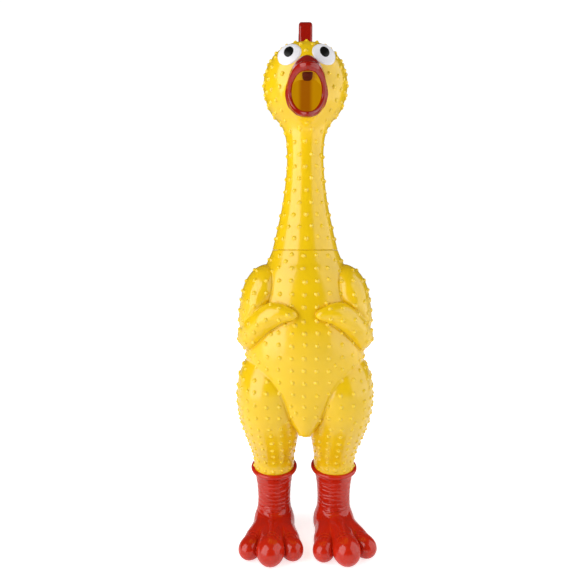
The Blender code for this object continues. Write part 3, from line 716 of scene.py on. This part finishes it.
rng = np.random.default_rng(7)
CHEST_ROWS = np.arange(391.5, 176, -15.4)
CHEST_MIDDLE, CHEST_SPACING = -2.5, 15.2
SIDE_ROWS, SIDE_SPACING = np.arange(183, 394, 12.6), 13.2
LEG_ROWS, LEG_SPACING = np.arange(99, 262, 12.4), 12.6
TORSO_NUBS_APART = 10.2
CUFF_FRONT_HEIGHT, CUFF_RISE, CUFF_ROOM = 93.5, 0.12, 5.5  # no nub stands under the boots' cuffs


def hits(found):
    """The rays that met the skin."""
    return found[np.isfinite(found[:, 0])]


def chest_nubs():
    """The chest and belly: an upright grid, seen from the front, and the same on the back."""
    found = []
    for facing in (-1, 1):
        origins, directions = [], []
        for z in CHEST_ROWS:
            for k in np.arange(-4, 5):
                x = CHEST_MIDDLE + CHEST_SPACING * k + rng.normal(0, 0.7)
                origins.append([x, FAR * facing, z + rng.normal(0, 0.8)])
                directions.append([0, -facing, 0])
        found.append(hits(cast(torso_field, np.array(origins, float), np.array(directions, float), 125)))
    found = np.vstack(found)
    _, normals = settle(torso_field, found.copy(), 2)
    return found[np.abs(normals[:, 1]) > 0.62]


def side_nubs():
    """The flanks and wings: rows of rays towards the middle."""

    def around(z):
        return float(np.interp(z, TORSO[:, 0], TORSO[:, 1])) * 0.97

    origins, directions = rows_of_rays(SIDE_ROWS, (0, 0), around, SIDE_SPACING, 0.5, 0.6, rng)
    return hits(cast(torso_field, origins, directions, 125))


def leg_nubs():
    """The thighs and legs: rows round each leg's own middle."""
    found = []
    for sign in (1, -1):
        for z in LEG_ROWS:
            side, front, half = (float(np.interp(z, LEG[:, 0], LEG[:, i])) for i in (1, 2, 3))
            side, back, around = sign * side, -front, half * 1.1
            row = rows_of_rays([z], (side, back), lambda _: around, LEG_SPACING, 0.5, 0.7, rng)
            got = hits(cast(torso_field, *row, 128))
            found.append(got[np.hypot(got[:, 0] - side, got[:, 1] - back) < around * 1.6])
    return np.vstack(found)


def torso_nubs():
    chest, side, legs = chest_nubs(), side_nubs(), leg_nubs()
    found = np.vstack([chest, legs, side])
    x, y, z = found[:, 0], found[:, 1], found[:, 2]
    rim = CUFF_FRONT_HEIGHT + (y + ANKLE_FRONT) * CUFF_RISE
    found = found[(z > rim + CUFF_ROOM) & (z < SEAM - 3.5) & ~((np.abs(x) < 3) & (z < 165))]
    return spaced(found, TORSO_NUBS_APART)


def build_skin(name, field, outside, box, step, nubs, body, material, node):
    points, faces = polygonise(field, *box, step)
    points, _ = settle(field, points, 2)
    points, faces = refine_near(points, faces, nubs, NUB_RADIUS + step * 1.3)
    points, normals = settle(field, points, 2)
    wobble = np.random.default_rng(11)
    sized = [
        (q, NUB_RADIUS * wobble.uniform(0.92, 1.06), NUB_HEIGHT * wobble.uniform(0.88, 1.08)) for q in nubs
    ]
    points, normals, lift = raise_nubs(points, normals, outside(points), sized)
    made = mesh_object(name, points, faces, body, material, normals)
    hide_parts(node)
    # each point's nub height, which the yellow reads for the painted highlight on the tips
    tips = made.data.attributes.new("nub", "FLOAT", "POINT")
    tips.data.foreach_set("value", np.clip(lift / NUB_HEIGHT, 0, 1).astype(np.float32))
    return made


TORSO_BOX = ((-101, -92, 60), (101, 92, 402))
build_skin(
    "torso_skin",
    torso_field,
    lambda p: p[:, 2] > 90,
    TORSO_BOX,
    STEP_BODY,
    torso_nubs(),
    "torso",
    yellow,
    "torso_shell",
)

# ---------------------------------------------------------------- head and neck


HEAD_BOX = ((-60, -98, 366), (60, 64, 664))
NECK_ROWS, NECK_SPACING = np.arange(412.5, 556, 15.0), 15.4
RING_SPACING, HEAD_SPACING = 12.8, 13.4
HEAD_NUBS_BOTTOM, HEAD_NUBS_APART = 552, 9.5
BARE_ROUND_EYE, BARE_ROUND_BEAK = 19.5, 5.0
LINING_BOTTOM = 540


def neck_nubs():
    def around(z):
        return float(np.interp(z, NECK[:, 0], NECK[:, 1]))

    origins, directions = rows_of_rays(NECK_ROWS, (0, 0), around, NECK_SPACING, 0.5, 0.6, rng)
    return hits(cast(head_skin, origins, directions, 129))


def skull_nubs():
    """Rings of equal spacing over the sphere, met by rays towards its middle."""
    rays = []
    rows = int(round(math.pi * HEAD_RADIUS / RING_SPACING))
    for i in range(rows):
        polar = math.pi * (i + 0.5) / rows
        if HEAD_CENTRE + HEAD_RADIUS * math.cos(polar) < HEAD_NUBS_BOTTOM:
            continue
        count = max(5, int(round(2 * math.pi * HEAD_RADIUS * math.sin(polar) / HEAD_SPACING)))
        for j in range(count):
            a = 2 * math.pi * (j + 0.5 * (i % 2)) / count + rng.normal(0, 0.012)
            rays.append([math.sin(polar) * math.sin(a), -math.sin(polar) * math.cos(a), math.cos(polar)])
    rays = np.array(rays)
    middle = np.array([0, 0, HEAD_CENTRE])
    return hits(cast(head_skin, middle + rays * 125, -rays, 120))


def head_nubs():
    """The nubs of the neck and the skull, less those that the beak, the eyes or the comb would cover."""
    points = np.vstack([neck_nubs(), skull_nubs()])
    x, front, z = points[:, 0], -points[:, 1], points[:, 2]
    rho, _, edge, _ = round_mouth(x, z)
    keep = ~((front > 20) & (rho < edge + BARE_ROUND_BEAK) & ((z > 556) | (front > 46)))
    for sign in (1, -1):
        eye = np.sqrt((x - sign * EYE_SIDE) ** 2 + (front - 44) ** 2 + (z - 628) ** 2)
        keep &= eye > BARE_ROUND_EYE
    keep &= ~((np.abs(x) < 12.5) & (z > 640) & (front < 14) & (front > -58))
    return spaced(points[keep], HEAD_NUBS_APART)


head = build_skin(
    "head_skin",
    head_field,
    lambda p: head_skin(p) > -1.0,
    HEAD_BOX,
    STEP_HEAD,
    head_nubs(),
    "head_neck",
    yellow,
    "head_neck_shell",
)
# the faces inside the head take the lining, with its painted shade and painted glow
head.data.materials.append(lining_shade_glow)
middles = np.array([f.center for f in head.data.polygons]) / MM - np.array([AXIS_SIDE, AXIS_BACK, 0.0])
inner = (head_skin(middles) < -0.9) & (middles[:, 2] > LINING_BOTTOM)
head.data.polygons.foreach_set("material_index", inner.astype(np.int32))

# ---------------------------------------------------------------- beak


BEAK_AROUND = 144
INNER_RINGS, HIDDEN_RINGS = 9, 2  # the rings of the lip, before the beak's outside, and those under its edge
BEAK_LIFT = 0.9  # the beak's outside stays this far over the skin
TOP_SWELL = 2.3  # how much thicker the lip's roll is at the top
BLOCK_AROUND, BLOCK_ALONG = 24, 16
BLOCK_HALF, BLOCK_MIDDLE = (6.0, 9.0, 7.0), (0, -77.0, 596.6)


def spread(rows, shares):
    """Points at shares of the length along a line of rows."""
    lengths = np.concatenate([[0], np.cumsum(np.sqrt((np.diff(rows, axis=0) ** 2).sum(1)))])
    return np.stack([np.interp(shares * lengths[-1], lengths, column) for column in rows.T], -1)


def whole_loop(half):
    """A half loop and its mirror image."""
    flip = np.array([-1] + [1] * (half.shape[1] - 1))
    return np.vstack([half, (half * flip)[-2:0:-1]])


def beak_rings():
    """Lofts round the mouth: from just inside, over the lip and the culmen, to the edge on the head."""
    shares = np.linspace(0, 1, BEAK_AROUND // 2 + 1)
    lip, edge = whole_loop(spread(LIP_FINE, shares)), whole_loop(spread(EDGE_FINE, shares))
    n = len(lip)
    out = np.stack([lip[:, 0], np.zeros(n), lip[:, 2] - MOUTH_HEIGHT], -1)
    out /= np.sqrt((out**2).sum(1))[:, None]
    centre = np.stack([lip[:, 0], -lip[:, 1], lip[:, 2]], -1)
    # Where the beak's edge lies on the skin: from the front, straight back onto the head or snout.
    origins = np.stack([edge[:, 0], np.full(n, -120.0), edge[:, 1]], -1)
    head_front = cast(head_outer, origins, np.tile([0.0, 1.0, 0.0], (n, 1)), 118)
    base_y = np.where(np.isfinite(head_front[:, 1]), head_front[:, 1], -30)
    base = np.stack([edge[:, 0], base_y, edge[:, 1]], -1)
    # Low down, the edge stays a little way behind the lip, on the snout.
    low = band(-edge[:, 1], -574, -560)
    base[:, 1] = base[:, 1] * (1 - low) + (centre[:, 1] + 8.5) * low
    under = base + np.array([0, 5.0, 0]) - out * 1.5
    front = np.array([0, -1.0, 0])
    rings = []
    for inset, back in ((1.2, 6.0), (0.2, 3.2)):
        rings.append(centre - out * (LIP_RADIUS - inset) + np.array([0, back, 0]))
    # The lip is a roll that swells into the thick upper beak.
    top = np.maximum(out[:, 2:3], 0) ** 3
    roll = LIP_RADIUS + TOP_SWELL * top
    centre = centre + out * (roll - LIP_RADIUS) - front * (roll - LIP_RADIUS) * 0.8
    for deg in (-80, -50, -20, 10, 40, 70):
        a = math.radians(deg)
        rings.append(centre + (out * math.sin(a) + front * math.cos(a)) * roll)
    start = centre + (out * 0.99 - front * 0.14) * roll
    rings.append(start)
    waist = start + np.array([0, 1.6, 0]) - out * (0.25 - 0.75 * top)
    swell = base * 0.42 + waist * 0.58 + out * (1.0 + 5.5 * top) + front * (1.0 + 3.0 * top)
    for t in np.linspace(0.12, 1, 9):
        rings.append(waist * (1 - t) ** 2 + swell * 2 * t * (1 - t) + base * t * t)
    rings.append(under)
    return np.stack(rings, 1)


def clear_of_skin(points, outer):
    """Lifts the outer points that are in the skin or too near it."""
    for _ in range(3):
        value = head_skin(points)
        g = gradient(head_skin, points)
        g /= np.maximum(np.sqrt((g * g).sum(1)), 1e-6)[:, None]
        lift = np.where(outer & (value < BEAK_LIFT), BEAK_LIFT - value, 0)
        points = points + g * np.minimum(lift, 3)[:, None]
    return points


def lofted_faces(around, across, first=0, closed=False):
    """Quads of a grid whose rows go round; with closed, each row's last point also joins its first."""
    faces = []
    for i in range(around):
        row, next_row = first + i * across, first + (i + 1) % around * across
        for j in range(across if closed else across - 1):
            k = (j + 1) % across
            faces.append((row + j, row + k, next_row + k, next_row + j))
    return faces


def block_points():
    """Under the upper beak the moulding hangs down in a rounded block, seen through the open mouth."""
    turn = np.repeat(np.arange(BLOCK_AROUND) * 2 * math.pi / BLOCK_AROUND, BLOCK_ALONG + 1)
    slope = np.tile(np.linspace(0, math.pi, BLOCK_ALONG + 1), BLOCK_AROUND)
    ball_points = np.stack([np.sin(slope) * np.cos(turn), np.cos(slope), np.sin(slope) * np.sin(turn)], -1)
    return np.sign(ball_points) * np.abs(ball_points) ** 0.6 * BLOCK_HALF + BLOCK_MIDDLE


def build_beak():
    rings = beak_rings()
    around, across = rings.shape[:2]
    ring = np.tile(np.arange(across), around)
    points = clear_of_skin(rings.reshape(-1, 3), (ring >= INNER_RINGS) & (ring < across - HIDDEN_RINGS))
    faces = lofted_faces(around, across, closed=True)
    block_faces = lofted_faces(BLOCK_AROUND, BLOCK_ALONG + 1, first=len(points))
    points = np.vstack([points, block_points()])
    beak = mesh_object("beak_gloss", points, faces + block_faces, "head_neck", red_gloss)
    # the block takes the darker red: painted shade
    beak.data.materials.append(red_painted_shade)
    in_block = np.arange(len(faces) + len(block_faces)) >= len(faces)
    beak.data.polygons.foreach_set("material_index", in_block.astype(np.int32))
    sub = beak.modifiers.new("smooth", "SUBSURF")
    sub.levels = sub.render_levels = 1
    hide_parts("beak")


build_beak()

# ---------------------------------------------------------------- comb

STEP_COMB = 0.8
points, faces = polygonise(comb_field, (-12, -20, 610), (12, 62, 690), STEP_COMB)
points, normals = settle(comb_field, points, 2)
comb = mesh_object("comb_lobes", points, faces, "head_neck", red_gloss, normals)
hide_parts("comb")

# ---------------------------------------------------------------- eyes

FACING_SHARE = 0.42  # how far each eye turns from the head's own slope to straight ahead
PUPIL_CENTRE, PUPIL_RADII, PUPIL_LIFT = (0.4, 1.9), (5.9, 7.2), 0.45


def eye_axes(sign):
    """The eye's middle on the head, and its face, across and up directions; it looks more to the front."""
    ray = np.array([[sign * EYE_SIDE, -120.0, EYE_HEIGHT]])
    middle = cast(head_outer, ray, np.array([[0, 1.0, 0]]), 118)
    _, n = settle(head_outer, middle.copy(), 1)
    face = Vector(n[0]).slerp(Vector((0, -1, 0)), FACING_SHARE)
    across = Vector((0, 0, 1)).cross(face).normalized()
    return middle[0], np.array(face), np.array(across), np.array(face.cross(across))


def eye_height(axes, u, v):
    """(the head's surface, the eye's) over the eye's plane, at u across and v up."""
    middle, face, across, up = axes
    on_plane = middle + np.outer(u, across) + np.outer(v, up)
    on_head = cast(head_outer, on_plane + face * 30, np.tile(-face, (len(u), 1)), 60)
    under = (on_head - on_plane) @ face
    share = (u * u + v * v) / EYE_RADIUS**2
    return under, smax(under + 0.9, 2.5 - 3.2 * share, 1.2)


def raised_disc(name, sign, centre, radii, lift, edge, material, node, slot, rings=14, around=72):
    """A disc of rings on the eye's surface, rounded over at its edge and closed behind."""
    axes = eye_axes(sign)
    middle, face, across, up = axes
    # The last two rings drop over the rim and end inside the head.
    share = np.repeat(np.append(np.linspace(1 / rings, 1, rings), [1.0, 1.0]), around)
    angle = np.tile(np.arange(around) * 2 * math.pi / around, rings + 2)
    u = sign * centre[0] + radii[0] * share * np.cos(angle)
    v = centre[1] + radii[1] * share * np.sin(angle)
    under, top = eye_height(axes, u, v)
    height = top + lift - edge * band(share, 0.86, 1.0) ** 2
    height[-2 * around : -around] -= 0.35
    height[-around:] = np.minimum(under, top)[-around:] - 0.5
    points = middle + np.outer(u, across) + np.outer(v, up) + np.outer(height, face)
    u0, v0 = np.array([sign * centre[0]]), np.array([centre[1]])
    under0, top0 = eye_height(axes, u0, v0)
    centre_line = middle + u0 * across + v0 * up
    points = np.vstack([points, centre_line + (top0 + lift) * face, centre_line + (under0 - 0.5) * face])
    first, last = len(points) - 2, len(points) - 1
    faces = []
    for k in range(around):
        m = (k + 1) % around
        faces.append((first, k, m))
        for r in range(rings + 1):
            faces.append((r * around + k, (r + 1) * around + k, (r + 1) * around + m, r * around + m))
        faces.append(((rings + 1) * around + k, last, (rings + 1) * around + m))
    made = mesh_object(name, points, faces, "head_neck", material)
    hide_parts(node)


for sign, label in ((1, "left"), (-1, "right")):
    size = (EYE_RADIUS, EYE_RADIUS)
    raised_disc("eyeball_" + label, sign, (0, 0), size, 0.0, 1.0, white, "eye_white_" + label, "eye_white")
    spot = (PUPIL_CENTRE, PUPIL_RADII, PUPIL_LIFT, 0.3)
    raised_disc("pupil_spot_" + label, sign, *spot, black, "pupil_" + label, "eye_black", 6, 48)

# ---------------------------------------------------------------- boots

BOOT_BOX = ((-44, -100, -2), (44, 40, 104))
TOES_OUT = {"left": 8.0, "right": 2.0}  # degrees
WRINKLE_SEED = {"left": 3, "right": 4}

for sign, label in ((1, "left"), (-1, "right")):

    def field(p, seed=WRINKLE_SEED[label]):
        return boot_field(p, seed)

    points, faces = polygonise(field, *BOOT_BOX, STEP_BOOT)
    points, normals = settle(field, points, 2)
    a = math.radians(sign * TOES_OUT[label])
    turn = np.array([[math.cos(a), -math.sin(a), 0], [math.sin(a), math.cos(a), 0], [0, 0, 1]])
    points = points @ turn.T + np.array([sign * ANKLE_SIDE, -ANKLE_FRONT, 0])
    boot = mesh_object("boot_skin_" + label, points, faces, "boot_" + label, red_vinyl, normals @ turn.T)
    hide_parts("boot_" + label)

# ---------------------------------------------------------------- squeaker, as packed

for node, material in (
    ("squeaker_housing", plastic),
    ("squeaker_cap", plastic),
    ("reed_trough", plastic),
    ("reed_clamp", plastic),
    ("reed_tongue", film),
):
    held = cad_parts[node]
    for entry in held if isinstance(held, (list, tuple)) else [held]:
        for material_slot in entry.material_slots:
            material_slot.material = material

# ---------------------------------------------------------------- stage, light, camera

FLOOR_HALF, FLOOR_LEVEL = 12.0, -0.0005  # metres
floor_mesh = bpy.data.meshes.new("floor")
corners = [(x * FLOOR_HALF, y * FLOOR_HALF, FLOOR_LEVEL) for x, y in ((-1, -1), (1, -1), (1, 1), (-1, 1))]
floor_mesh.from_pydata(corners, [], [(0, 1, 2, 3)])
floor = bpy.data.objects.new("floor", floor_mesh)
bpy.context.scene.collection.objects.link(floor)
paper = principled("paper", (0.8, 0.8, 0.8), 0.9, spec=0.1, tint=0.01)


FLOOR_LIGHT = 0.36  # how bright the paper is to everything but the camera


def bright_floor(m):
    """The sweep of paper is evenly white, with painted shade making it a little darker round the toy, and
    lights the toy softly.
    """
    nodes, links = m.node_tree.nodes, m.node_tree.links
    shader = nodes["Principled BSDF"]
    shader.inputs["Emission Color"].default_value = (1, 1, 1, 1)
    where = nodes.new("ShaderNodeTexCoord")
    away = nodes.new("ShaderNodeVectorMath")
    away.operation = "LENGTH"
    # painted shade: to the camera the paper is darker near the toy and white farther out
    level = nodes.new("ShaderNodeMapRange")
    for name, value in (("From Min", 0.2), ("From Max", 1.3), ("To Min", 0.7), ("To Max", 1.0)):
        level.inputs[name].default_value = value
    path = nodes.new("ShaderNodeLightPath")
    seen = nodes.new("ShaderNodeMix")
    seen.inputs[2].default_value = FLOOR_LIGHT
    links.new(where.outputs["Object"], away.inputs[0])
    links.new(away.outputs["Value"], level.inputs["Value"])
    links.new(path.outputs["Is Camera Ray"], seen.inputs[0])
    links.new(level.outputs["Result"], seen.inputs[3])
    links.new(seen.outputs[0], shader.inputs["Emission Strength"])


bright_floor(paper)
floor_mesh.materials.append(paper)


def studio_world(seen_strength, lit_strength):
    """White to the camera, and only a little light from all round."""
    world = bpy.data.worlds.new("studio")
    bpy.context.scene.world = world
    world.use_nodes = True
    nodes, links = world.node_tree.nodes, world.node_tree.links
    nodes.clear()
    path = nodes.new("ShaderNodeLightPath")
    mix = nodes.new("ShaderNodeMixShader")
    out = nodes.new("ShaderNodeOutputWorld")
    links.new(path.outputs["Is Camera Ray"], mix.inputs["Fac"])
    for slot, strength in ((1, lit_strength), (2, seen_strength)):
        background = nodes.new("ShaderNodeBackground")
        background.inputs["Color"].default_value = (1, 1, 1, 1)
        background.inputs["Strength"].default_value = strength
        links.new(background.outputs[0], mix.inputs[slot])
    links.new(mix.outputs[0], out.inputs["Surface"])


studio_world(1.05, 0.045)

TARGET = Vector((AXIS_SIDE * MM, AXIS_BACK * MM, 0.36))


def softbox(name, azimuth, distance, width, height, level, power):
    """A tall soft light; azimuth 0 is in front of the toy, and grows towards its left."""
    light = bpy.data.lights.new(name, "AREA")
    light.shape = "RECTANGLE"
    light.size, light.size_y = width, height
    light.energy = power
    made = bpy.data.objects.new(name, light)
    a = math.radians(azimuth)
    made.location = TARGET + Vector((math.sin(a), -math.cos(a), 0)) * distance + Vector((0, 0, level))
    aim = TARGET - made.location
    made.rotation_euler = aim.to_track_quat("-Z", "Y").to_euler()
    made.visible_camera = False
    bpy.context.scene.collection.objects.link(made)
    return made


softbox("soft_left", -55, 1.3, 1.35, 2.2, 0.35, 27)
softbox("soft_right", 78, 1.3, 2.1, 2.2, 0.35, 22)
behind = softbox("soft_back", 180, 1.9, 2.4, 2.0, 1.2, 12)
behind.visible_glossy = False

CAMERA_SENSOR, CAMERA_LENS = 36.0, 31.03448  # mm
CAMERA_SIDE, CAMERA_FRONT, CAMERA_HEIGHT, CAMERA_DOWN = -0.0197, 0.6587, 0.398, 4.574  # metres, degrees
camera_data = bpy.data.cameras.new("camera")
camera_data.sensor_width = CAMERA_SENSOR
camera_data.lens = CAMERA_LENS
camera = bpy.data.objects.new("camera", camera_data)
camera.location = (CAMERA_SIDE + AXIS_SIDE * MM, AXIS_BACK * MM - CAMERA_FRONT, CAMERA_HEIGHT)
camera.rotation_euler = (math.radians(90 - CAMERA_DOWN), 0, 0)
bpy.context.scene.collection.objects.link(camera)
bpy.context.scene.camera = camera
bpy.context.scene.view_settings.view_transform = "Standard"
